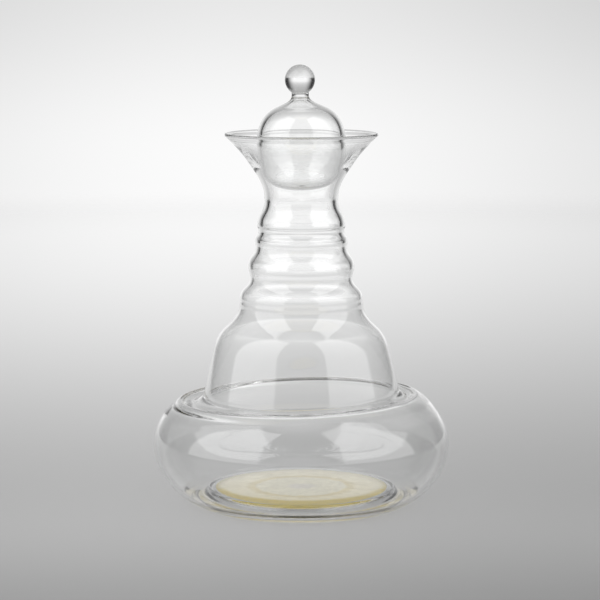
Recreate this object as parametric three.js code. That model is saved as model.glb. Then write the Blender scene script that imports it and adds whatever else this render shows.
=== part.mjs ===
// A blown glass water carafe with a loose ball stopper, in millimetres, +Z up.
// The origin is on the table, under the middle of the base.
// Every glass piece is a profile turned round the Z axis, so an outline point is (radius, height).
import * as THREE from 'three';
import { mergeVertices } from 'three/addons/utils/BufferGeometryUtils.js';

// Body: radii are outside the glass, and each rise is a step up from the level below it
const foot = { radius: 57, width: 3.5, angle: 16 };
const punt = { rise: 5.0, slope: 6.3, glass: 4.0, overhang: 1.0, trough: 4.0 };
const bowl = { radius: 85, rise: 35.4, shoulderRise: 27, shoulderAngle: 32 };
const ledge = { radius: 67.1, width: 11.2, slope: 5, edge: 2.4, groove: 1.6 };
const bell = { waistRadius: 49.7, waistRise: 28.3, topRadius: 35.7, topRise: 22.9 };

// Rings of the neck, from the bell up: out to the swell, then in to the groove above it
const neckRings = [
  { swell: 35.1, swellRise: 4.0, groove: 29.3, grooveRise: 11.9 },
  { swell: 30.3, swellRise: 6.5, groove: 26.2, grooveRise: 11.2 },
  { swell: 26.5, swellRise: 3.3, groove: 24.5, grooveRise: 5.5 },
  { swell: 25.1, swellRise: 3.5, groove: 21.0, grooveRise: 14.4 },
];
const funnel = {
  throatRadius: 30.2, throatRise: 21.5, throatAngle: 57, rimRadius: 43.3, rimRise: 14.8, rimAngle: 43,
};

// Thickness of the glass: thin in the bowl, more in the neck and where the stopper sits
const wall = { bowl: 1.8, neck: 2.1 };
const seatBand = { extra: 0.8, rise: 14, reach: 16 };

// How far the curves run on along their tangents, as shares of the step up that they make
const bowlPull = { foot: 0.33, belowBelly: 0.57, aboveBelly: 0.45, crest: 0.3 };
const bellPull = { foot: 0.35, waistBelow: 0.2, waistAbove: 0.4, top: 0.35 };
const funnelPull = { waist: 0.45, throat: 0.4, rim: 0.4 };

// Lean of the bell's wall at its foot, its waist and the groove, in degrees from horizontal
const bellLean = { groove: 94, foot: 98, waist: 100 };

// The ledge stands a little askew in the shoulder of the bowl, low on the -X side, where its edge juts out
const skew = { tilt: 1.8, below: 10.3, above: 6, slide: 2, reach: 5 };

// Gold print on the underside of the base, as wide as the hollow there less a margin
const print = { margin: 0.5, thickness: 0.3 };

// Stopper: a hollow ball, fuller than a sphere, drawn up to a solid neck with a solid glass knob
const ball = { radius: 25.4, halfHeight: 24.4, fullBelow: 2.7, fullAbove: 2.5, wall: 1.8 };
const vent = { radius: 1.2 };
const stem = { radius: 4.9, rise: 4.0, solid: 3.0, flare: 8.0, pull: 0.65 };
const knob = { radius: 8.6 };
const seatClearance = 0.3;
const stopperLean = 1.2;

// Facets
const bodySides = 44;
const ballSides = 36;
const knobSides = 28;

const degree = Math.PI / 180;
const puntRadius = foot.radius - foot.width - punt.slope;
const bellRadius = ledge.radius - ledge.width;

// Levels of the body, from the table up
const crestLevel = bowl.rise + bowl.shoulderRise;
const bellLevel = crestLevel + ledge.width * Math.tan(ledge.slope * degree);
const bellWaistLevel = bellLevel + bell.waistRise;
const bellTopLevel = bellWaistLevel + bell.topRise;
const neckLevel = neckRings.reduce((level, ring) => level + ring.swellRise + ring.grooveRise, bellTopLevel);
const throatLevel = neckLevel + funnel.throatRise;
const rimLevel = throatLevel + funnel.rimRise;

const point = (r, z) => new THREE.Vector2(r, z);
const aim = (angle) => point(Math.cos(angle * degree), Math.sin(angle * degree));
const along = (from, direction, distance) => from.clone().addScaledVector(direction, distance);
const smooth = THREE.MathUtils.smoothstep;

// Points of a curve without its first one
const pointsAfterStart = (curve, steps) => curve.getPoints(steps).slice(1);
const bend = (a, b, c, d, steps) => pointsAfterStart(new THREE.CubicBezierCurve(a, b, c, d), steps);
const fillet = (a, b, c, steps) => pointsAfterStart(new THREE.QuadraticBezierCurve(a, b, c), steps);

// A wave of glass from one upright tangent to the next
function wave(from, to, steps) {
  const half = (to.y - from.y) / 2;
  return bend(from, point(from.x, from.y + half), point(to.x, to.y - half), to, steps);
}

// Bowl from the foot ring up over the belly to the crest of the ledge
function bowlOutline(steps) {
  const start = point(foot.radius, 0);
  const belly = point(bowl.radius, bowl.rise);
  const crest = point(ledge.radius, crestLevel);
  const downhill = aim(-bowl.shoulderAngle);
  const crestStart = along(crest, downhill, ledge.edge);
  return [start,
    ...bend(start, along(start, aim(foot.angle), bowl.rise * bowlPull.foot),
      point(belly.x, belly.y - bowl.rise * bowlPull.belowBelly), belly, steps(8)),
    ...bend(belly, point(belly.x, belly.y + bowl.shoulderRise * bowlPull.aboveBelly),
      along(crestStart, downhill, bowl.shoulderRise * bowlPull.crest), crestStart, steps(7)),
    ...fillet(crestStart, crest, along(crest, aim(180 - ledge.slope), ledge.edge), steps(3))];
}

// Ledge, the groove behind it, and the bell up to the first ring
function bellOutline(steps) {
  const corner = point(bellRadius, bellLevel);
  const grooveStart = along(corner, aim(-ledge.slope), ledge.groove);
  const grooveEnd = along(corner, aim(bellLean.groove), ledge.groove);
  const waist = point(bell.waistRadius, bellWaistLevel);
  const top = point(bell.topRadius, bellTopLevel);
  const lean = aim(bellLean.waist);
  return [grooveStart, ...fillet(grooveStart, corner, grooveEnd, steps(2)),
    ...bend(grooveEnd, along(grooveEnd, aim(bellLean.foot), bell.waistRise * bellPull.foot),
      along(waist, lean, -bell.waistRise * bellPull.waistBelow), waist, steps(4)),
    ...bend(waist, along(waist, lean, bell.topRise * bellPull.waistAbove),
      point(top.x, top.y - bell.topRise * bellPull.top), top, steps(7))];
}

function neckOutline(steps) {
  const points = [];
  let from = point(bell.topRadius, bellTopLevel);
  for (const ring of neckRings) {
    const swell = point(ring.swell, from.y + ring.swellRise);
    const groove = point(ring.groove, swell.y + ring.grooveRise);
    points.push(...wave(from, swell, steps(2)), ...wave(swell, groove, steps(4)));
    from = groove;
  }
  return points;
}

function funnelOutline(steps) {
  const waist = point(neckRings.at(-1).groove, neckLevel);
  const throat = point(funnel.throatRadius, throatLevel);
  const rim = point(funnel.rimRadius, rimLevel);
  const upwards = aim(funnel.throatAngle);
  return [...bend(waist, point(waist.x, waist.y + funnel.throatRise * funnelPull.waist),
    along(throat, upwards, -funnel.throatRise * funnelPull.throat), throat, steps(6)),
  ...bend(throat, along(throat, upwards, funnel.rimRise * funnelPull.throat),
    along(rim, aim(funnel.rimAngle), -funnel.rimRise * funnelPull.rim), rim, steps(3))];
}

// Outside of the body from the foot ring up to the rim; fineness scales the number of points
function bodyOutline(fineness) {
  const steps = (count) => Math.max(2, Math.round(count * fineness));
  return [...bowlOutline(steps), ...bellOutline(steps), ...neckOutline(steps), ...funnelOutline(steps)];
}

function glassAt(height) {
  const body = THREE.MathUtils.lerp(wall.bowl, wall.neck, smooth(height, crestLevel, bellWaistLevel));
  const fromSeat = Math.abs(height - neckLevel - seatBand.rise);
  return body + seatBand.extra * (1 - smooth(fromSeat, 0, seatBand.reach));
}

// An outside line moved inwards by the thickness of the glass at each height
function offsetInwards(points, thicknessAt) {
  return points.map((p, i) => {
    const before = points[Math.max(i - 1, 0)];
    const after = points[Math.min(i + 1, points.length - 1)];
    const run = after.clone().sub(before).normalize();
    const glass = thicknessAt(p.y);
    return point(p.x - run.y * glass, p.y + run.x * glass);
  });
}

// Inside of the wall, from just above the trough round the punt up to the rim
function bodyInside() {
  return offsetInwards(bodyOutline(0.6), glassAt).filter((p) => p.y > punt.trough + wall.bowl);
}

// From the wall into the trough and up over the punt to the axis
function floorInside(from) {
  const top = punt.rise + punt.glass;
  const edge = point(puntRadius + punt.overhang, top);
  const trough = point(foot.radius, punt.trough);
  const half = (trough.x - edge.x) / 2;
  const spread = (from.x - trough.x) / 2;
  const start = along(from, aim(180 + foot.angle), spread);
  return [...bend(from, start, point(trough.x + spread, trough.y), trough, 3),
    ...bend(trough, point(trough.x - half, trough.y), point(edge.x + half, edge.y), edge, 4),
    point(0, top)];
}

function underside() {
  const edge = point(puntRadius, punt.rise);
  const ring = point(foot.radius - foot.width, 0);
  const half = (ring.x - edge.x) / 2;
  return [point(0, punt.rise), edge,
    ...bend(edge, point(edge.x + half, edge.y), point(ring.x - half, ring.y), ring, 3)];
}

// Half circle of fire-polished glass between the outer and the inner line
function lip(outer, inner, steps) {
  const centre = outer.clone().add(inner).multiplyScalar(0.5);
  const arm = outer.clone().sub(centre);
  return Array.from({ length: steps - 1 }, (_, i) => {
    const turned = arm.clone().rotateAround(point(0, 0), Math.PI * (i + 1) / steps);
    return centre.clone().add(turned);
  });
}

// Turned solid with only its positions left, the seam and the poles welded
function turn(outline, sides) {
  const geometry = new THREE.LatheGeometry(outline, sides);
  geometry.rotateX(Math.PI / 2);
  geometry.deleteAttribute('normal');
  geometry.deleteAttribute('uv');
  const welded = mergeVertices(geometry, 1e-4);
  const corners = welded.index.array;
  const kept = [];
  for (let i = 0; i < corners.length; i += 3) {
    const [a, b, c] = corners.slice(i, i + 3);
    if (a !== b && b !== c && c !== a) kept.push(a, b, c);
  }
  welded.setIndex(kept);
  return welded;
}

// Tilts the ledge and slides its edge towards the low side, most of all there; belly and rings stay true
function skewLedge(geometry) {
  const slope = Math.tan(skew.tilt * degree);
  const place = geometry.attributes.position;
  for (let i = 0; i < place.count; i++) {
    const [x, y, z] = [place.getX(i), place.getY(i), place.getZ(i)];
    const near = smooth(z, crestLevel - skew.below, crestLevel)
      * (1 - smooth(z, bellLevel + skew.above, bellWaistLevel));
    const radius = Math.hypot(x, y);
    const edge = smooth(z, crestLevel - skew.reach, crestLevel) * smooth(radius, bellRadius, ledge.radius);
    const slide = skew.slide * (1 - x / (2 * ledge.radius));
    place.setXYZ(i, x - slide * edge, y, z + slope * near * x);
  }
  return geometry;
}

// Outline of the ball between two angles, heights from its middle
function ballOutline(from, to, steps) {
  return Array.from({ length: steps + 1 }, (_, i) => {
    const angle = (from + (to - from) * i / steps) * degree;
    const power = 2 / (angle > 0 ? ball.fullAbove : ball.fullBelow);
    const height = ball.halfHeight * Math.abs(Math.sin(angle)) ** power * Math.sign(angle);
    return point(ball.radius * Math.cos(angle) ** power, height);
  });
}

// Angle at which the ball's outline has a given radius
const ballAngle = (radius, fullness) => Math.acos((radius / ball.radius) ** (fullness / 2)) / degree;
const stemLevel = ball.halfHeight + stem.rise;

// From the vent up round the ball and along the flare to the stem
function ballOutside(fineness) {
  const steps = (count) => Math.round(count * fineness);
  const shoulder = ballAngle(stem.flare + stem.radius, ball.fullAbove);
  const round = ballOutline(-ballAngle(vent.radius, ball.fullBelow), shoulder, steps(18));
  const start = round.at(-1);
  const slope = start.clone().sub(round.at(-2)).normalize();
  const top = point(stem.radius, stemLevel);
  return [...round, ...bend(start, along(start, slope, stem.flare * stem.pull),
    point(top.x, top.y - stem.rise * stem.pull), top, steps(4))];
}

// The hollow keeps the ball's wall and runs up into the flare, as far as the solid stem
function ballInside() {
  const top = stemLevel - stem.solid;
  const line = offsetInwards(ballOutside(0.75), () => ball.wall);
  return [point(0, top), ...line.map((p) => point(p.x, Math.min(p.y, top))).reverse()];
}

// Shortest way from a point to a line of points
function distanceToLine(p, line) {
  let least = Infinity;
  for (let i = 1; i < line.length; i++) {
    const run = line[i].clone().sub(line[i - 1]);
    const share = THREE.MathUtils.clamp(p.clone().sub(line[i - 1]).dot(run) / run.lengthSq(), 0, 1);
    least = Math.min(least, p.distanceTo(along(line[i - 1], run, share)));
  }
  return least;
}

// Height of the ball's middle where it rests in the funnel, leaning as it does
function seatHeight() {
  const inside = bodyInside();
  const sides = [1, -1].flatMap((side) => ballOutside(1).map((p) => {
    const turned = point(p.x * side, p.y).rotateAround(point(0, 0), stopperLean * degree);
    return point(Math.abs(turned.x), turned.y);
  }));
  const gapAt = (height) => Math.min(...sides.map((p) => distanceToLine(point(p.x, p.y + height), inside)));
  let height = rimLevel + ball.halfHeight;
  for (let step = 1; step > 0.001;) {
    if (gapAt(height - step) < seatClearance) step /= 2;
    else height -= step;
  }
  return height;
}

const glass = () => new THREE.MeshStandardMaterial({
  color: 0xeef2f0, roughness: 0.04, metalness: 0, transparent: true, opacity: 0.35,
});
const gold = () => new THREE.MeshStandardMaterial({ color: 0xcdb878, roughness: 0.4, metalness: 0.6 });

function mesh(name, geometry, material) {
  geometry.computeVertexNormals();
  const piece = new THREE.Mesh(geometry, material);
  piece.name = name;
  return piece;
}

function carafeBody() {
  const outer = bodyOutline(1);
  const inner = bodyInside().reverse();
  const outline = [...underside(), ...outer, ...lip(outer.at(-1), inner[0], 4), ...inner,
    ...floorInside(inner.at(-1))];
  return mesh('carafe_body', skewLedge(turn(outline, bodySides)), glass());
}

function basePrint() {
  const low = punt.rise - print.thickness;
  const edge = puntRadius - print.margin;
  const outline = [point(0, low), point(edge, low), point(edge, punt.rise), point(0, punt.rise)];
  return mesh('base_print', turn(outline, bodySides), gold());
}

function stopperBulb() {
  const outline = [...ballInside(), ...ballOutside(1), point(0, stemLevel)];
  return mesh('stopper_bulb', turn(outline, ballSides), glass());
}

// Solid ball of glass on the stump that joins it to the hollow one
function stopperKnob() {
  const join = Math.asin(stem.radius / knob.radius);
  const middle = stemLevel + stem.rise / 2 + knob.radius * Math.cos(join);
  const steps = 12;
  const round = Array.from({ length: steps + 1 }, (_, i) => {
    const angle = join + (Math.PI - join) * i / steps;
    return point(knob.radius * Math.sin(angle), middle - knob.radius * Math.cos(angle));
  });
  const outline = [point(0, stemLevel), point(stem.radius, stemLevel), ...round];
  return mesh('stopper_knob', turn(outline, knobSides), glass());
}

const stopper = new THREE.Group();
stopper.add(stopperBulb(), stopperKnob());
stopper.position.z = seatHeight();
stopper.rotation.y = -stopperLean * degree;

const carafe = new THREE.Group();
carafe.add(carafeBody(), basePrint(), stopper);

export default carafe;
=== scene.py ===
# A blown glass carafe with a loose ball stopper, on a pale floor in a soft studio.
# The glass is turned from outlines of points (radius, height) in millimetres; meshes are in metres.
import math

import bpy
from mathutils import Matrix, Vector


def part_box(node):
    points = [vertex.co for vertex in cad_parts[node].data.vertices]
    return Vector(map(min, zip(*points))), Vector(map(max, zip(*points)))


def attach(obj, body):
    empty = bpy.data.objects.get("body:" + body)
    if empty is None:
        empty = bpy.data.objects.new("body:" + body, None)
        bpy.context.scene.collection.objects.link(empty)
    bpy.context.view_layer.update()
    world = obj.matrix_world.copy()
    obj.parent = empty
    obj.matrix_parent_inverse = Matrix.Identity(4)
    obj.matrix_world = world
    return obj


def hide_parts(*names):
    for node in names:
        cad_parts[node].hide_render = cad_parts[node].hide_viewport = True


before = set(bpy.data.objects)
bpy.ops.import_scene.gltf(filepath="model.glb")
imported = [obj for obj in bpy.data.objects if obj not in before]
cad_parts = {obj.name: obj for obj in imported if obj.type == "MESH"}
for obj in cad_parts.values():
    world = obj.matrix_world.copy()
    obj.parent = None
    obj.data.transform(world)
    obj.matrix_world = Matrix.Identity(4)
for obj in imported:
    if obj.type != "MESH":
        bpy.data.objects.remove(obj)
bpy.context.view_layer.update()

MM = 0.001

# Body: radii are outside the glass, and each rise is a step up from the level below it
FOOT = {"radius": 57, "width": 2.6, "angle": 16}
PUNT = {"rise": 5.8, "slope": 4.8, "glass": 3.2, "overhang": 2.8, "trough": 5.6}
BOWL = {"radius": 85, "rise": 35.4, "shoulder_rise": 27, "shoulder_angle": 32}
LEDGE = {"radius": 67.1, "width": 11.2, "slope": 5, "edge": 2.4, "groove": 1.2}
BELL = {"waist_radius": 49.9, "waist_rise": 28, "shoulder_radius": 44.2, "shoulder_rise": 9.6,
        "top_radius": 35.4, "top_rise": 23.2}

# Rings of the neck, from the bell up: (radius and rise of the swell, radius and rise of the groove)
NECK_RINGS = [
    (35.1, 4.0, 29.3, 11.9),
    (30.3, 6.5, 26.2, 11.2),
    (26.5, 3.3, 24.5, 5.5),
    (25.1, 3.5, 21.0, 14.4),
]
FUNNEL = {"throat_radius": 30.2, "throat_rise": 21.5, "throat_angle": 57,
          "rim_radius": 43.3, "rim_rise": 14.8, "rim_angle": 43}
WALL = {"bowl": 1.8, "neck": 2.9, "rim": 1.3}
BEAD = {"extra": 0.8, "rise": 2.2}

# How far the curves run on along their tangents, as shares of the step up that they make
BOWL_PULL = {"foot": 0.33, "below_belly": 0.57, "above_belly": 0.45, "crest": 0.3}
BELL_PULL = {"foot": 0.13, "waist_below": 0.18, "waist_above": 0.4, "shoulder_below": 0.35,
             "shoulder_above": 0.35, "top": 0.4}
FUNNEL_PULL = {"waist": 0.45, "throat": 0.4, "rim": 0.4}
BELL_LEAN = {"groove": 94, "foot": 92, "waist": 106, "shoulder": 137}
SKEW = {"tilt": 1.8, "below": 10.3, "above": 6, "slide": 2, "reach": 5}
FOLD = {"depth": 2.6, "low_end": (0.35, 0.95), "high_end": (0.8, 0.98), "points": 8}

# Gold film fired under the base; the last two sizes set back and soften the painted shade along its front
# edge
PRINT = {"film": 0.04, "margin": 0.2, "shade_set_back": 11, "shade_blur": 3.0}

# Stopper: a hollow ball drawn up to a solid stem with a solid knob
BALL = {"radius": 25.4, "half_height": 24.4, "full_below": 2.7, "full_above": 2.5,
        "wall_bottom": 1.6, "wall": 2.6, "wall_top": 2.4}
VENT_RADIUS = 1.2
STEM = {"radius": 4.9, "rise": 4.0, "solid": 3.0, "flare": 8.0, "pull": 0.65}
KNOB_RADIUS = 8.6
STOPPER_LEAN = math.radians(1.2)

# Fineness of the turned glass: the share of each stretch of an outline, points per share, points of the
# other stretches, and sides round the axis
STEPS = {"bowl_below": 8, "bowl_above": 7, "ledge_edge": 3, "groove": 2, "bell": 4, "swell": 2,
         "neck_groove": 4, "funnel": 6, "rim": 3, "trough": 3, "hollow": 4, "foot_ring": 3,
         "ball": 18, "flare": 4}
FINENESS = 4.5
LIP_STEPS = 10
KNOB_STEPS = 48
PRINT_STEPS = 16
BODY_SIDES = 144
PRINT_SIDES = 144
STOPPER_SIDES = 128
WELD_DISTANCE = 0.001

bell_radius = LEDGE["radius"] - LEDGE["width"]
punt_radius = FOOT["radius"] - FOOT["width"] - PUNT["slope"]
print_radius = punt_radius - PRINT["margin"]
crest_level = BOWL["rise"] + BOWL["shoulder_rise"]
bell_level = crest_level + LEDGE["width"] * math.tan(math.radians(LEDGE["slope"]))
bell_waist_level = bell_level + BELL["waist_rise"]
bell_top_level = bell_waist_level + BELL["top_rise"]
neck_level = bell_top_level + sum(ring[1] + ring[3] for ring in NECK_RINGS)
throat_level = neck_level + FUNNEL["throat_rise"]
rim_level = throat_level + FUNNEL["rim_rise"]
stem_level = BALL["half_height"] + STEM["rise"]
knob_join = math.asin(STEM["radius"] / KNOB_RADIUS)
knob_level = stem_level + STEM["rise"] / 2 + KNOB_RADIUS * math.cos(knob_join)


def point(radius, height):
    return Vector((radius, height))


def aim(degrees):
    """A step of one millimetre, 0 degrees being away from the axis and 90 straight up."""
    return point(math.cos(math.radians(degrees)), math.sin(math.radians(degrees)))


def bend(start, first, second, end, steps):
    """Points after the first one of a curve with two handles."""
    points = []
    for i in range(1, steps + 1):
        t = i / steps
        s = 1 - t
        points.append(start * s**3 + first * (3 * s * s * t) + second * (3 * s * t * t) + end * t**3)
    return points


def fillet(start, corner, end, steps):
    """Points after the first one of a rounded corner."""
    points = []
    for i in range(1, steps + 1):
        t = i / steps
        points.append(start * (1 - t) ** 2 + corner * (2 * t * (1 - t)) + end * t * t)
    return points


def wave(start, end, steps):
    """A wave of glass from one upright tangent to the next."""
    half = (end.y - start.y) / 2
    return bend(start, point(start.x, start.y + half), point(end.x, end.y - half), end, steps)


def smooth(value, low, high):
    """Value's way from low to high, from 0 to 1 and eased at both ends."""
    share = min(max((value - low) / (high - low), 0), 1)
    return share * share * (3 - 2 * share)


def steps_for(stretch):
    return round(STEPS[stretch] * FINENESS)


def bowl_outline():
    """From the foot round the belly, over the edge of the ledge and in along it."""
    start = point(FOOT["radius"], 0)
    belly = point(BOWL["radius"], BOWL["rise"])
    crest = point(LEDGE["radius"], crest_level)
    downhill = aim(-BOWL["shoulder_angle"])
    crest_start = crest + downhill * LEDGE["edge"]
    points = [start]
    points += bend(start, start + aim(FOOT["angle"]) * BOWL["rise"] * BOWL_PULL["foot"],
                   point(belly.x, belly.y - BOWL["rise"] * BOWL_PULL["below_belly"]), belly,
                   steps_for("bowl_below"))
    points += bend(belly, point(belly.x, belly.y + BOWL["shoulder_rise"] * BOWL_PULL["above_belly"]),
                   crest_start + downhill * BOWL["shoulder_rise"] * BOWL_PULL["crest"],
                   crest_start, steps_for("bowl_above"))
    ledge_start = crest + aim(180 - LEDGE["slope"]) * LEDGE["edge"]
    points += fillet(crest_start, crest, ledge_start, steps_for("ledge_edge"))
    ledge_end = point(bell_radius, bell_level) + aim(-LEDGE["slope"]) * LEDGE["groove"]
    points += [ledge_start.lerp(ledge_end, i / FOLD["points"]) for i in range(1, FOLD["points"])]
    return points


def bell_outline():
    """The groove at the ledge's inner end, then up over the waist and the shoulder."""
    corner = point(bell_radius, bell_level)
    groove_start = corner + aim(-LEDGE["slope"]) * LEDGE["groove"]
    groove_end = corner + aim(BELL_LEAN["groove"]) * LEDGE["groove"]
    waist = point(BELL["waist_radius"], bell_waist_level)
    top = point(BELL["top_radius"], bell_top_level)
    lean = aim(BELL_LEAN["waist"])
    points = [groove_start]
    points += fillet(groove_start, corner, groove_end, steps_for("groove"))
    points += bend(groove_end,
                   groove_end + aim(BELL_LEAN["foot"]) * BELL["waist_rise"] * BELL_PULL["foot"],
                   waist - lean * BELL["waist_rise"] * BELL_PULL["waist_below"], waist, steps_for("bell"))
    shoulder = point(BELL["shoulder_radius"], bell_waist_level + BELL["shoulder_rise"])
    slope = aim(BELL_LEAN["shoulder"])
    rest = BELL["top_rise"] - BELL["shoulder_rise"]
    points += bend(waist, waist + lean * BELL["shoulder_rise"] * BELL_PULL["waist_above"],
                   shoulder - slope * BELL["shoulder_rise"] * BELL_PULL["shoulder_below"],
                   shoulder, steps_for("bell"))
    points += bend(shoulder, shoulder + slope * rest * BELL_PULL["shoulder_above"],
                   point(top.x, top.y - rest * BELL_PULL["top"]), top, steps_for("bell"))
    return points


def neck_outline():
    points = []
    start = point(BELL["top_radius"], bell_top_level)
    for swell_radius, swell_rise, groove_radius, groove_rise in NECK_RINGS:
        swell = point(swell_radius, start.y + swell_rise)
        groove = point(groove_radius, swell.y + groove_rise)
        points += wave(start, swell, steps_for("swell"))
        points += wave(swell, groove, steps_for("neck_groove"))
        start = groove
    return points


def funnel_outline():
    waist = point(NECK_RINGS[-1][2], neck_level)
    throat = point(FUNNEL["throat_radius"], throat_level)
    rim = point(FUNNEL["rim_radius"], rim_level)
    upwards = aim(FUNNEL["throat_angle"])
    points = bend(waist, point(waist.x, waist.y + FUNNEL["throat_rise"] * FUNNEL_PULL["waist"]),
                  throat - upwards * FUNNEL["throat_rise"] * FUNNEL_PULL["throat"],
                  throat, steps_for("funnel"))
    points += bend(throat, throat + upwards * FUNNEL["rim_rise"] * FUNNEL_PULL["throat"],
                   rim - aim(FUNNEL["rim_angle"]) * FUNNEL["rim_rise"] * FUNNEL_PULL["rim"],
                   rim, steps_for("rim"))
    return points


def glass_at(height):
    """Thickness of the body's glass, from the bowl's to the neck's to the rim's with its bead."""
    neck_share = smooth(height, bell_top_level, neck_level - NECK_RINGS[-1][3])
    rim_share = smooth(height, throat_level - FUNNEL["rim_rise"] / 2, rim_level - FUNNEL["rim_rise"] / 3)
    body = WALL["bowl"] + (WALL["neck"] - WALL["bowl"]) * neck_share
    body += (WALL["rim"] - body) * rim_share
    return body + BEAD["extra"] * smooth(height, rim_level - BEAD["rise"], rim_level)


def offset_inwards(points, thickness_at):
    """An outside line moved inwards by the thickness of the glass at each height."""
    moved = []
    for i, p in enumerate(points):
        run = (points[min(i + 1, len(points) - 1)] - points[max(i - 1, 0)]).normalized()
        moved.append(p + point(-run.y, run.x) * thickness_at(p.y))
    return moved


def floor_inside(start):
    """From the wall into the trough and up over the hollow under the base to the axis."""
    top = PUNT["rise"] + PUNT["glass"]
    edge = point(punt_radius + PUNT["overhang"], top)
    trough = point(FOOT["radius"], PUNT["trough"])
    half = (trough.x - edge.x) / 2
    spread = (start.x - trough.x) / 2
    points = bend(start, start + aim(180 + FOOT["angle"]) * spread, point(trough.x + spread, trough.y),
                  trough, steps_for("trough"))
    points += bend(trough, point(trough.x - half, trough.y), point(edge.x + half, edge.y), edge,
                   steps_for("hollow"))
    return points + [point(0, top)]


def underside():
    edge = point(punt_radius, PUNT["rise"])
    ring = point(FOOT["radius"] - FOOT["width"], 0)
    half = (ring.x - edge.x) / 2
    return [point(0, PUNT["rise"]), edge] + bend(
        edge, point(edge.x + half, edge.y), point(ring.x - half, ring.y), ring, steps_for("foot_ring"))


def lip(outer, inner, steps):
    """Half circle of fire-polished glass between the outer and the inner line."""
    centre = (outer + inner) / 2
    points = []
    for i in range(1, steps):
        turn = math.pi * i / steps
        arm = outer - centre
        points.append(centre + point(arm.x * math.cos(turn) - arm.y * math.sin(turn),
                                     arm.x * math.sin(turn) + arm.y * math.cos(turn)))
    return points


def carafe_outline():
    outer = bowl_outline() + bell_outline() + neck_outline() + funnel_outline()
    inner = [p for p in offset_inwards(outer, glass_at) if p.y > PUNT["trough"] + WALL["bowl"]]
    inner.reverse()
    return underside() + outer + lip(outer[-1], inner[0], LIP_STEPS) + inner + floor_inside(inner[-1])


def ball_angle(radius, fullness):
    return math.acos((radius / BALL["radius"]) ** (fullness / 2))


def ball_outside():
    """From the vent up round the ball and along the flare to the stem."""
    low = -ball_angle(VENT_RADIUS, BALL["full_below"])
    shoulder = ball_angle(STEM["flare"] + STEM["radius"], BALL["full_above"])
    steps = steps_for("ball")
    points = []
    for i in range(steps + 1):
        angle = low + (shoulder - low) * i / steps
        power = 2 / (BALL["full_above"] if angle > 0 else BALL["full_below"])
        height = BALL["half_height"] * math.copysign(abs(math.sin(angle)) ** power, angle)
        points.append(point(BALL["radius"] * math.cos(angle) ** power, height))
    start = points[-1]
    slope = (start - points[-2]).normalized()
    top = point(STEM["radius"], stem_level)
    points += bend(start, start + slope * STEM["flare"] * STEM["pull"],
                   point(top.x, top.y - STEM["rise"] * STEM["pull"]), top, steps_for("flare"))
    return points


def knob_outside():
    """From the stem round the knob to its top on the axis."""
    points = []
    for i in range(KNOB_STEPS + 1):
        angle = knob_join + (math.pi - knob_join) * i / KNOB_STEPS
        points.append(point(KNOB_RADIUS * math.sin(angle), knob_level - KNOB_RADIUS * math.cos(angle)))
    points[-1].x = 0
    return points


def ball_wall_at(height):
    end = BALL["wall_top"] if height > 0 else BALL["wall_bottom"]
    return BALL["wall"] + (end - BALL["wall"]) * smooth(abs(height), 0, BALL["half_height"])


def stopper_outline():
    """Hollow ball, solid stem and knob in one piece of glass, heights from the ball's middle."""
    top = stem_level - STEM["solid"]
    outside = ball_outside()
    inside = [point(p.x, min(p.y, top)) for p in offset_inwards(outside, ball_wall_at)]
    inside.reverse()
    return [point(0, top)] + inside + outside + knob_outside()


def print_outline():
    """A film on the hollow under the base, half of it inside the glass."""
    low, high = PUNT["rise"] - PRINT["film"] / 2, PUNT["rise"] + PRINT["film"] / 2
    radii = [print_radius * i / PRINT_STEPS for i in range(PRINT_STEPS + 1)]
    return [point(radius, low) for radius in radii] + [point(radius, high) for radius in reversed(radii)]


# Node trees

def place(tree, kind, **settings):
    node = tree.nodes.new(kind)
    for name, value in settings.items():
        setattr(node, name, value)
    return node


def feed(tree, socket, value):
    """Links a socket to another one, or gives it a plain value."""
    if isinstance(value, bpy.types.NodeSocket):
        tree.links.new(value, socket)
    else:
        socket.default_value = value


def maths(tree, operation, *values):
    node = place(tree, "ShaderNodeMath", operation=operation)
    for socket, value in zip(node.inputs, values):
        feed(tree, socket, value)
    return node.outputs[0]


def from_axis(tree, x, y):
    """Distance from the Z axis."""
    squares = maths(tree, "ADD", maths(tree, "MULTIPLY", x, x), maths(tree, "MULTIPLY", y, y))
    return maths(tree, "SQRT", squares)


def ease(tree, value, low, high, start=0.0, end=1.0):
    """Value's way from low to high, eased at both ends, as a number from start to end."""
    node = place(tree, "ShaderNodeMapRange", interpolation_type="SMOOTHSTEP")
    for socket, given in zip(node.inputs, (value, low, high, start, end)):
        feed(tree, socket, given)
    return node.outputs[0]


def blend(tree, share, first, second):
    """The first number where share is 0, the second where it is 1."""
    node = place(tree, "ShaderNodeMix", data_type="FLOAT")
    for slot, given in ((0, share), (2, first), (3, second)):
        feed(tree, node.inputs[slot], given)
    return node.outputs[0]


def fill_ramp(ramp, stops):
    """Gives a colour ramp its (position, colour) stops."""
    elements = ramp.color_ramp.elements
    while len(elements) > 1:
        elements.remove(elements[-1])
    for i, (position, color) in enumerate(stops):
        element = elements[0] if i == 0 else elements.new(position)
        element.position = position
        element.color = (*color, 1)


def inside_glass(tree, ray):
    """1 for light that has met the glass, 0 for what the camera sees past it."""
    met = maths(tree, "ADD", ray["Glossy Depth"], ray["Transmission Depth"])
    return maths(tree, "MINIMUM", met, 1.0)


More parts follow.
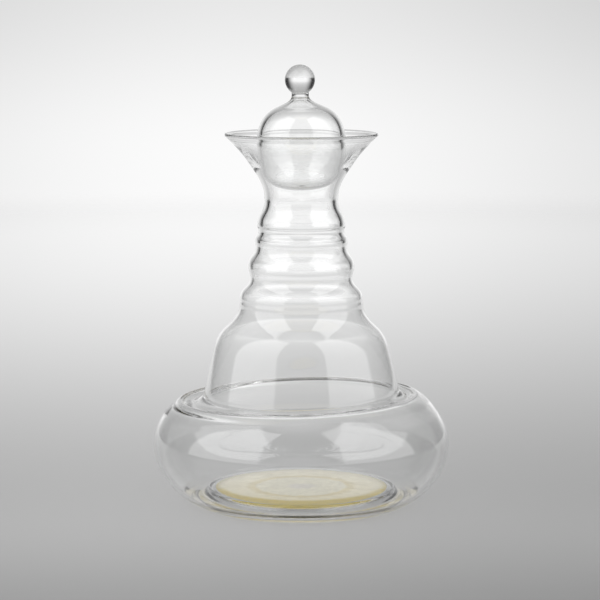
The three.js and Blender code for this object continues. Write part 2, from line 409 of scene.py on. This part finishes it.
def turned_glass_tree():
    """Turns an outline in the XZ plane round Z, sets its ledge askew, leans it and lifts it."""
    tree = bpy.data.node_groups.new("turned_glass", "GeometryNodeTree")
    sockets = [
        ("Outline", "NodeSocketGeometry"), ("Sides", "NodeSocketInt"),
        ("Ledge Tilt", "NodeSocketFloat"), ("Ledge Slide", "NodeSocketFloat"),
        ("Shoulder Height", "NodeSocketFloat"), ("Edge Height", "NodeSocketFloat"),
        ("Crest Height", "NodeSocketFloat"),
        ("Bell Height", "NodeSocketFloat"), ("Waist Height", "NodeSocketFloat"),
        ("Bell Radius", "NodeSocketFloat"), ("Crest Radius", "NodeSocketFloat"),
        ("Fold Depth", "NodeSocketFloat"), ("Lean", "NodeSocketRotation"),
        ("Lift", "NodeSocketVector"), ("Glass", "NodeSocketMaterial"),
    ]
    for name, kind in sockets:
        tree.interface.new_socket(name, in_out="INPUT", socket_type=kind)
    tree.interface.new_socket("Piece", in_out="OUTPUT", socket_type="NodeSocketGeometry")
    given = place(tree, "NodeGroupInput").outputs

    # A grid with a row for each outline point and a column for each side
    count = place(tree, "GeometryNodeAttributeDomainSize", component="MESH")
    feed(tree, count.inputs["Geometry"], given["Outline"])
    columns = maths(tree, "ADD", given["Sides"], 1)
    grid = place(tree, "GeometryNodeMeshGrid")
    feed(tree, grid.inputs["Vertices X"], count.outputs["Point Count"])
    feed(tree, grid.inputs["Vertices Y"], columns)
    index = place(tree, "GeometryNodeInputIndex").outputs[0]
    row = maths(tree, "FLOOR", maths(tree, "DIVIDE", maths(tree, "ADD", index, 0.5), columns))
    column = maths(tree, "SUBTRACT", index, maths(tree, "MULTIPLY", row, columns))
    sample = place(tree, "GeometryNodeSampleIndex", data_type="FLOAT_VECTOR", domain="POINT")
    feed(tree, sample.inputs["Geometry"], given["Outline"])
    feed(tree, sample.inputs["Value"], place(tree, "GeometryNodeInputPosition").outputs[0])
    feed(tree, sample.inputs["Index"], row)
    angle = maths(tree, "DIVIDE", maths(tree, "MULTIPLY", column, math.tau), given["Sides"])
    turn = place(tree, "ShaderNodeVectorRotate", rotation_type="Z_AXIS")
    feed(tree, turn.inputs["Vector"], sample.outputs["Value"])
    feed(tree, turn.inputs["Angle"], angle)
    lathe = place(tree, "GeometryNodeSetPosition")
    feed(tree, lathe.inputs["Geometry"], grid.outputs["Mesh"])
    feed(tree, lathe.inputs["Position"], turn.outputs[0])
    outwards = place(tree, "GeometryNodeFlipFaces")
    feed(tree, outwards.inputs["Mesh"], lathe.outputs[0])
    weld = place(tree, "GeometryNodeMergeByDistance")
    feed(tree, weld.inputs["Geometry"], outwards.outputs[0])
    feed(tree, weld.inputs["Distance"], WELD_DISTANCE * MM)

    # The ledge and the glass near it, tilted, its edge slid towards the low side and most of all there
    spot = place(tree, "ShaderNodeSeparateXYZ")
    feed(tree, spot.inputs[0], place(tree, "GeometryNodeInputPosition").outputs[0])
    x, y, z = spot.outputs
    radius = from_axis(tree, x, y)
    above = ease(tree, z, given["Shoulder Height"], given["Crest Height"])
    below = ease(tree, z, given["Bell Height"], given["Waist Height"], 1.0, 0.0)
    near = maths(tree, "MULTIPLY", above, below)
    outer = ease(tree, radius, given["Bell Radius"], given["Crest Radius"])
    edge = maths(tree, "MULTIPLY", outer, ease(tree, z, given["Edge Height"], given["Crest Height"]))
    across = maths(tree, "DIVIDE", x, maths(tree, "MULTIPLY", given["Crest Radius"], 2.0))
    share = maths(tree, "SUBTRACT", 1.0, across)
    slide = maths(tree, "MULTIPLY", maths(tree, "MULTIPLY", edge, share), given["Ledge Slide"])
    rise = maths(tree, "MULTIPLY", maths(tree, "MULTIPLY", near, x), given["Ledge Tilt"])

    # A fold pressed into the ledge at its low end, and a shorter one at its high end
    side = maths(tree, "DIVIDE", x, maths(tree, "MAXIMUM", radius, MM))
    low_end = ease(tree, maths(tree, "MULTIPLY", side, -1.0), *FOLD["low_end"])
    high_end = ease(tree, side, *FOLD["high_end"])
    middle = maths(tree, "MULTIPLY", maths(tree, "ADD", given["Bell Radius"], given["Crest Radius"]), 0.5)
    valley = maths(tree, "MULTIPLY", ease(tree, radius, given["Bell Radius"], middle),
                   ease(tree, radius, middle, given["Crest Radius"], 1.0, 0.0))
    ends = maths(tree, "MULTIPLY", maths(tree, "ADD", low_end, high_end), given["Fold Depth"])
    fold = maths(tree, "MULTIPLY", maths(tree, "MULTIPLY", valley, near), ends)
    shift = place(tree, "ShaderNodeCombineXYZ")
    feed(tree, shift.inputs["X"], maths(tree, "MULTIPLY", slide, -1.0))
    feed(tree, shift.inputs["Z"], maths(tree, "SUBTRACT", rise, fold))
    skew = place(tree, "GeometryNodeSetPosition")
    feed(tree, skew.inputs["Geometry"], weld.outputs[0])
    feed(tree, skew.inputs["Offset"], shift.outputs[0])

    stand = place(tree, "GeometryNodeTransform")
    feed(tree, stand.inputs["Geometry"], skew.outputs[0])
    feed(tree, stand.inputs["Rotation"], given["Lean"])
    feed(tree, stand.inputs["Translation"], given["Lift"])
    soft = place(tree, "GeometryNodeSetShadeSmooth")
    feed(tree, soft.inputs["Geometry"], stand.outputs[0])
    real = place(tree, "GeometryNodeRealizeInstances")
    feed(tree, real.inputs[0], soft.outputs[0])
    paint = place(tree, "GeometryNodeSetMaterial")
    feed(tree, paint.inputs["Geometry"], real.outputs[0])
    feed(tree, paint.inputs["Material"], given["Glass"])
    result = place(tree, "NodeGroupOutput")
    feed(tree, result.inputs["Piece"], paint.outputs[0])
    return tree


def turned_piece(name, outline, tree, sizes):
    """A plain mesh turned from an outline by the tree, with its sizes set by their names."""
    line = bpy.data.meshes.new(name + "_outline")
    corners = [(p.x * MM, 0, p.y * MM) for p in outline]
    line.from_pydata(corners, [(i, i + 1) for i in range(len(corners) - 1)], [])
    maker = bpy.data.objects.new(name + "_outline", line)
    bpy.context.scene.collection.objects.link(maker)
    modifier = maker.modifiers.new("turned", "NODES")
    modifier.node_group = tree
    for item in tree.interface.items_tree:
        if item.in_out == "INPUT" and item.name in sizes:
            modifier[item.identifier] = sizes[item.name]
    depsgraph = bpy.context.evaluated_depsgraph_get()
    mesh = bpy.data.meshes.new_from_object(maker.evaluated_get(depsgraph), depsgraph=depsgraph)
    mesh.name = name
    bpy.data.objects.remove(maker)
    piece = bpy.data.objects.new(name, mesh)
    bpy.context.scene.collection.objects.link(piece)
    return piece


# Materials

# Clear glass, and the length and depth in metres of the waves left by blowing
GLASS = {"color": (0.996, 0.998, 0.997, 1), "ior": 1.47}
RIPPLE_DETAIL = 1.0
BODY_RIPPLE = {"size": 0.03, "depth": 0.00001}
STOPPER_RIPPLE = {"size": 0.015, "depth": 0.000004}


def new_material(name):
    material = bpy.data.materials.new(name)
    material.use_nodes = True
    tree = material.node_tree
    shader = next(n for n in tree.nodes if n.type == "BSDF_PRINCIPLED")
    return material, tree, shader


def blown_ripple_group():
    """Normals of glass that was blown: long soft waves over the surface."""
    tree = bpy.data.node_groups.new("blown_ripple", "ShaderNodeTree")
    for name in ("Size", "Depth"):
        tree.interface.new_socket(name, in_out="INPUT", socket_type="NodeSocketFloat")
    tree.interface.new_socket("Normal", in_out="OUTPUT", socket_type="NodeSocketVector")
    given = place(tree, "NodeGroupInput").outputs
    coordinates = place(tree, "ShaderNodeTexCoord")
    noise = place(tree, "ShaderNodeTexNoise")
    feed(tree, noise.inputs["Vector"], coordinates.outputs["Object"])
    feed(tree, noise.inputs["Scale"], maths(tree, "DIVIDE", 1.0, given["Size"]))
    noise.inputs["Detail"].default_value = RIPPLE_DETAIL
    bump = place(tree, "ShaderNodeBump")
    feed(tree, bump.inputs["Height"], noise.outputs[0])
    feed(tree, bump.inputs["Distance"], given["Depth"])
    result = place(tree, "NodeGroupOutput")
    feed(tree, result.inputs["Normal"], bump.outputs["Normal"])
    return tree


def glass_material(name, ripple, size, depth):
    material, tree, shader = new_material(name)
    shader.inputs["Base Color"].default_value = GLASS["color"]
    shader.inputs["Roughness"].default_value = 0.0
    shader.inputs["IOR"].default_value = GLASS["ior"]
    shader.inputs["Transmission Weight"].default_value = 1.0
    waves = place(tree, "ShaderNodeGroup", node_tree=ripple)
    waves.inputs["Size"].default_value = size
    waves.inputs["Depth"].default_value = depth
    feed(tree, shader.inputs["Normal"], waves.outputs["Normal"])
    return material


# Colours of the print by radius in millimetres, and the deep gold of the painted shade along its front
# edge: a darker crescent that stands in for shade, not for the print's own colour
PRINT_RINGS = [
    (0, (0.83, 0.80, 0.78)), (6.5, (0.84, 0.82, 0.78)), (9, (0.90, 0.88, 0.78)), (25, (0.90, 0.88, 0.78)),
    (27, (0.80, 0.73, 0.52)), (30, (0.82, 0.76, 0.57)), (32, (0.91, 0.87, 0.73)), (45, (0.91, 0.87, 0.73)),
    (49.4, (0.84, 0.79, 0.60)),
]
PAINTED_SHADE_GOLD = (0.70, 0.57, 0.15, 1)
# Its grain: how far it moves the rings' edges in millimetres, and what it does to shade and roughness
GRAIN = {"scale": 260.0, "detail": 3.0, "range": (0.3, 0.7), "wander": 0.8,
         "spots": (0.35, 0.65), "shade": (0.75, 1.1), "share": 0.3, "roughness": (0.45, 0.6)}


def gold_print_material():
    """Pale fired gold: rings of cream and gold, with a mottled grain, and painted shade in deep gold along
    the front edge.
    """
    material, tree, shader = new_material("gold_print")
    coordinates = place(tree, "ShaderNodeTexCoord")
    spot = place(tree, "ShaderNodeSeparateXYZ")
    feed(tree, spot.inputs[0], coordinates.outputs["Object"])
    x, y, _ = spot.outputs
    grain = place(tree, "ShaderNodeTexNoise")
    feed(tree, grain.inputs["Vector"], coordinates.outputs["Object"])
    grain.inputs["Scale"].default_value = GRAIN["scale"]
    grain.inputs["Detail"].default_value = GRAIN["detail"]
    wander = ease(tree, grain.outputs[0], *GRAIN["range"], -GRAIN["wander"] * MM, GRAIN["wander"] * MM)
    radius = maths(tree, "ADD", from_axis(tree, x, y), wander)
    rings = place(tree, "ShaderNodeValToRGB")
    widest = PRINT_RINGS[-1][0]
    fill_ramp(rings, [(size / widest, color) for size, color in PRINT_RINGS])
    feed(tree, rings.inputs["Fac"], maths(tree, "DIVIDE", radius, widest * MM))
    # Painted shade: a crescent of deep gold outside a circle of the print's size that is set back from the
    # front
    behind = maths(tree, "SUBTRACT", y, PRINT["shade_set_back"] * MM)
    outside = maths(tree, "ADD", from_axis(tree, x, behind), wander)
    blur = PRINT["shade_blur"]
    edge = place(tree, "ShaderNodeMix", data_type="RGBA")
    share = ease(tree, outside, (print_radius - blur) * MM, (print_radius + blur) * MM)
    feed(tree, edge.inputs["Factor"], share)
    feed(tree, edge.inputs[6], rings.outputs["Color"])
    feed(tree, edge.inputs[7], PAINTED_SHADE_GOLD)
    mottle = place(tree, "ShaderNodeMix", data_type="RGBA", blend_type="MULTIPLY")
    feed(tree, mottle.inputs["Factor"], GRAIN["share"])
    feed(tree, mottle.inputs[6], edge.outputs[2])
    shade = ease(tree, grain.outputs[0], *GRAIN["spots"], *GRAIN["shade"])
    feed(tree, mottle.inputs[7], shade)
    feed(tree, shader.inputs["Base Color"], mottle.outputs[2])
    roughness = ease(tree, grain.outputs[0], *GRAIN["range"], *GRAIN["roughness"])
    feed(tree, shader.inputs["Roughness"], roughness)
    return material


# Studio

# Floor and backdrop as the camera sees them, 1 being white: pale near the camera, down to a dark front,
# up to a grey floor, up again to the bright band behind the glass, and down a little towards the top.
# Each soft step is (degrees up at its start and at its end, change in brightness)
BACKDROP_NEAR = 1.0
BACKDROP_STEPS = [(-42, -14, -0.65), (-15, -12.5, 0.13), (-12, -5, 0.49), (-4, 1, -0.19)]

# The studio as the glass shows it, as (degrees up, brightness): behind the glass, at its sides and on
# the camera's side, and at how many degrees from the back one turns into the next
BEHIND = [
    (-90, 0.90), (-12, 0.90), (-8, 0.94), (-6, 1.0), (-5, 1.08), (-3, 1.12), (0, 1.08), (3, 0.92),
    (6, 0.76), (10, 0.64), (16, 0.54), (30, 0.46), (60, 0.45), (75, 0.60), (90, 0.70),
]
SIDES = [
    (-90, 0.45), (-15, 0.45), (-9, 0.25), (-6, 0.04), (0, 0.02), (27, 0.02), (33, 0.22),
    (50, 0.40), (75, 0.55), (90, 0.70),
]
IN_FRONT = [
    (-90, 1.10), (-8, 1.10), (-2, 0.90), (2, 0.45), (6, 0.20), (12, 0.08), (70, 0.08),
    (80, 0.60), (90, 0.75),
]
TURNS = {"behind_to_sides": (12, 43), "sides_to_front": (70, 94)}

# The glow on the backdrop, lower down and high up
GLOW = {"width": 9.0, "low": -12, "high": -4, "azimuth_low": -4.0, "azimuth_high": -1.4,
        "share_low": 0.20, "share_high": 0.28}

# The even light that paint and floor stand in
ROOM_LIGHT = 0.95

# What is left of the light after each reflection inside the glass
KEPT_INSIDE = 0.978

# A tall flat light panel at each side of the camera: degrees sideways from the camera and degrees up
PANEL = {"inner": 33, "outer": 97, "low": 0, "top": 71, "soft": 2.0,
         "brightness_low": 1.5, "brightness_high": 2.0}

# The photo's camera: lens and sensor in millimetres, place in metres, degrees that it looks down
CAMERA = {"lens": 144, "sensor": 36, "x": -0.00074, "y": -1.3618, "z": 0.2931, "pitch": 7.35}

# The floor in metres, the share of its light that is glow, and how the glass sees it darker to the sides
FLOOR = {"radius": 2.2, "sides": 96, "fade_start": 1.5, "drop": 0.0002, "glow_share": 0.65,
         "dim_start": 11, "dim_end": 34, "side_share": 0.4}


def brightness_ramp(tree, value, pairs):
    """Brightness from (value, brightness) pairs in rising order."""
    ramp = place(tree, "ShaderNodeValToRGB")
    ramp.color_ramp.interpolation = "CARDINAL"
    low, high = pairs[0][0], pairs[-1][0]
    fill_ramp(ramp, [((at - low) / (high - low), (brightness,) * 3) for at, brightness in pairs])
    share = maths(tree, "DIVIDE", maths(tree, "SUBTRACT", value, float(low)), float(high - low))
    feed(tree, ramp.inputs["Fac"], share)
    gray = place(tree, "ShaderNodeRGBToBW")
    feed(tree, gray.inputs[0], ramp.outputs["Color"])
    return gray.outputs[0]


def panel_mask(tree, across, up):
    """1 on the panels, 0 beside them, eased over their soft edges."""
    soft = PANEL["soft"]
    mask = None
    for value, edge, start in ((across, PANEL["inner"], 0.0), (across, PANEL["outer"], 1.0),
                               (up, PANEL["low"], 0.0), (up, PANEL["top"], 1.0)):
        side = ease(tree, value, edge - soft, edge + soft, start, 1.0 - start)
        mask = side if mask is None else maths(tree, "MULTIPLY", mask, side)
    return mask


def backdrop_brightness(tree, up, from_back):
    """The backdrop's soft steps, with a glow a little left of the middle."""
    brightness = BACKDROP_NEAR
    for start, end, change in BACKDROP_STEPS:
        brightness = maths(tree, "ADD", ease(tree, up, start, end, 0.0, change), brightness)
    azimuth = ease(tree, up, GLOW["low"], GLOW["high"], GLOW["azimuth_low"], GLOW["azimuth_high"])
    share = ease(tree, up, GLOW["low"], GLOW["high"], GLOW["share_low"], GLOW["share_high"])
    off = maths(tree, "DIVIDE", maths(tree, "SUBTRACT", from_back, azimuth), GLOW["width"])
    bell = maths(tree, "EXPONENT", maths(tree, "MULTIPLY", maths(tree, "MULTIPLY", off, off), -1.0))
    dimming = maths(tree, "MULTIPLY", maths(tree, "SUBTRACT", 1.0, bell), share)
    return maths(tree, "MULTIPLY", brightness, maths(tree, "SUBTRACT", 1.0, dimming))


def glass_room_brightness(tree, up, from_back):
    """The studio that the glass refracts and mirrors."""
    away = maths(tree, "ABSOLUTE", from_back)
    to_sides = ease(tree, away, *TURNS["behind_to_sides"])
    to_front = ease(tree, away, *TURNS["sides_to_front"])
    room = blend(tree, to_sides, brightness_ramp(tree, up, BEHIND), brightness_ramp(tree, up, SIDES))
    room = blend(tree, to_front, room, brightness_ramp(tree, up, IN_FRONT))
    panel = ease(tree, up, PANEL["low"], PANEL["top"], PANEL["brightness_low"], PANEL["brightness_high"])
    return blend(tree, panel_mask(tree, maths(tree, "SUBTRACT", 180.0, away), up), room, panel)


def studio_world():
    world = bpy.data.worlds.new("studio")
    bpy.context.scene.world = world
    world.use_nodes = True
    tree = world.node_tree
    background = next(n for n in tree.nodes if n.type == "BACKGROUND")

    direction = place(tree, "ShaderNodeSeparateXYZ")
    feed(tree, direction.inputs[0], place(tree, "ShaderNodeTexCoord").outputs["Generated"])
    x, y, z = direction.outputs
    up = maths(tree, "DEGREES", maths(tree, "ARCSINE", z))
    from_back = maths(tree, "DEGREES", maths(tree, "ARCTAN2", x, y))

    ray = place(tree, "ShaderNodeLightPath").outputs
    seen = blend(tree, inside_glass(tree, ray), backdrop_brightness(tree, up, from_back),
                 glass_room_brightness(tree, up, from_back))
    seen = blend(tree, maths(tree, "MINIMUM", ray["Diffuse Depth"], 1.0), seen, ROOM_LIGHT)
    kept = maths(tree, "POWER", KEPT_INSIDE, ray["Glossy Depth"])
    feed(tree, background.inputs["Strength"], maths(tree, "MULTIPLY", seen, kept))
    background.inputs["Color"].default_value = (1, 1, 1, 1)


def pale_floor():
    """A wide round floor that fades into the backdrop, as bright as it, and keeps the glass's shadow."""
    sides = FLOOR["sides"]
    angles = [math.tau * i / sides for i in range(sides)]
    rim = [(FLOOR["radius"] * math.cos(a), FLOOR["radius"] * math.sin(a), -FLOOR["drop"]) for a in angles]
    mesh = bpy.data.meshes.new("floor")
    mesh.from_pydata(rim, [], [list(range(sides))])
    floor = bpy.data.objects.new("floor", mesh)
    bpy.context.scene.collection.objects.link(floor)
    material, tree, shader = new_material("floor")
    spot = place(tree, "ShaderNodeSeparateXYZ")
    feed(tree, spot.inputs[0], place(tree, "ShaderNodeTexCoord").outputs["Object"])
    x, y, _ = spot.outputs

    # The backdrop's gradient carried down on to the floor, laid out from the place of the photo's camera
    ahead = maths(tree, "SUBTRACT", y, CAMERA["y"])
    aside = maths(tree, "SUBTRACT", x, CAMERA["x"])
    down = maths(tree, "ARCTAN2", -CAMERA["z"], from_axis(tree, aside, ahead))
    azimuth = maths(tree, "DEGREES", maths(tree, "ARCTAN2", aside, ahead))
    brightness = backdrop_brightness(tree, maths(tree, "DEGREES", down), azimuth)
    ray = place(tree, "ShaderNodeLightPath").outputs
    outwards = ease(tree, maths(tree, "ABSOLUTE", azimuth), FLOOR["dim_start"], FLOOR["dim_end"],
                    1.0, FLOOR["side_share"])
    brightness = maths(tree, "MULTIPLY", brightness, blend(tree, inside_glass(tree, ray), 1.0, outwards))
    shown = maths(tree, "SUBTRACT", 1.0, maths(tree, "MINIMUM", ray["Diffuse Depth"], 1.0))
    shader.inputs["Emission Color"].default_value = (1, 1, 1, 1)
    glow = maths(tree, "MULTIPLY", brightness, FLOOR["glow_share"])
    feed(tree, shader.inputs["Emission Strength"], maths(tree, "MULTIPLY", glow, shown))
    pale = maths(tree, "MULTIPLY", brightness, (1 - FLOOR["glow_share"]) / ROOM_LIGHT)
    feed(tree, shader.inputs["Base Color"], pale)
    shader.inputs["Roughness"].default_value = 1.0
    shader.inputs["Specular IOR Level"].default_value = 0.0
    radius = from_axis(tree, x, y)
    feed(tree, shader.inputs["Alpha"], ease(tree, radius, FLOOR["fade_start"], FLOOR["radius"], 1.0, 0.0))
    mesh.materials.append(material)


def photo_camera():
    data = bpy.data.cameras.new("camera")
    data.lens = CAMERA["lens"]
    data.sensor_width = CAMERA["sensor"]
    camera = bpy.data.objects.new("camera", data)
    camera.location = (CAMERA["x"], CAMERA["y"], CAMERA["z"])
    camera.rotation_euler = (math.radians(90 - CAMERA["pitch"]), 0, 0)
    bpy.context.scene.collection.objects.link(camera)
    bpy.context.scene.camera = camera


# The scene

photo_camera()
scene = bpy.context.scene
scene.view_settings.view_transform = "Standard"
scene.cycles.max_bounces = 96
scene.cycles.transmission_bounces = 96
scene.cycles.glossy_bounces = 64
scene.cycles.diffuse_bounces = 12
scene.cycles.blur_glossy = 0.0
studio_world()
pale_floor()

ripple = blown_ripple_group()
clear_glass = glass_material("clear_glass", ripple, **BODY_RIPPLE)
stopper_glass = glass_material("stopper_glass", ripple, **STOPPER_RIPPLE)
tree = turned_glass_tree()

tilt = math.tan(math.radians(SKEW["tilt"]))
carafe_glass = turned_piece("carafe_glass", carafe_outline(), tree, {
    "Sides": BODY_SIDES, "Ledge Tilt": tilt, "Ledge Slide": SKEW["slide"] * MM,
    "Shoulder Height": (crest_level - SKEW["below"]) * MM,
    "Edge Height": (crest_level - SKEW["reach"]) * MM, "Crest Height": crest_level * MM,
    "Bell Height": (bell_level + SKEW["above"]) * MM, "Waist Height": bell_waist_level * MM,
    "Bell Radius": bell_radius * MM, "Crest Radius": LEDGE["radius"] * MM,
    "Fold Depth": FOLD["depth"] * MM, "Glass": clear_glass,
})
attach(carafe_glass, "carafe")
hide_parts("carafe_body")

knob_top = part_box("stopper_knob")[1].z
seat = knob_top - (KNOB_RADIUS + knob_level * math.cos(STOPPER_LEAN)) * MM
stopper = turned_piece("ball_stopper", stopper_outline(), tree, {
    "Sides": STOPPER_SIDES, "Ledge Tilt": 0.0, "Ledge Slide": 0.0, "Fold Depth": 0.0,
    "Lean": (0, -STOPPER_LEAN, 0), "Lift": (0, 0, seat), "Glass": stopper_glass,
})
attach(stopper, "stopper")
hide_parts("stopper_bulb", "stopper_knob")

gold_print = turned_piece("gold_print", print_outline(), tree, {
    "Sides": PRINT_SIDES, "Ledge Tilt": 0.0, "Ledge Slide": 0.0, "Fold Depth": 0.0,
    "Glass": gold_print_material(),
})
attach(gold_print, "carafe")
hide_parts("base_print")
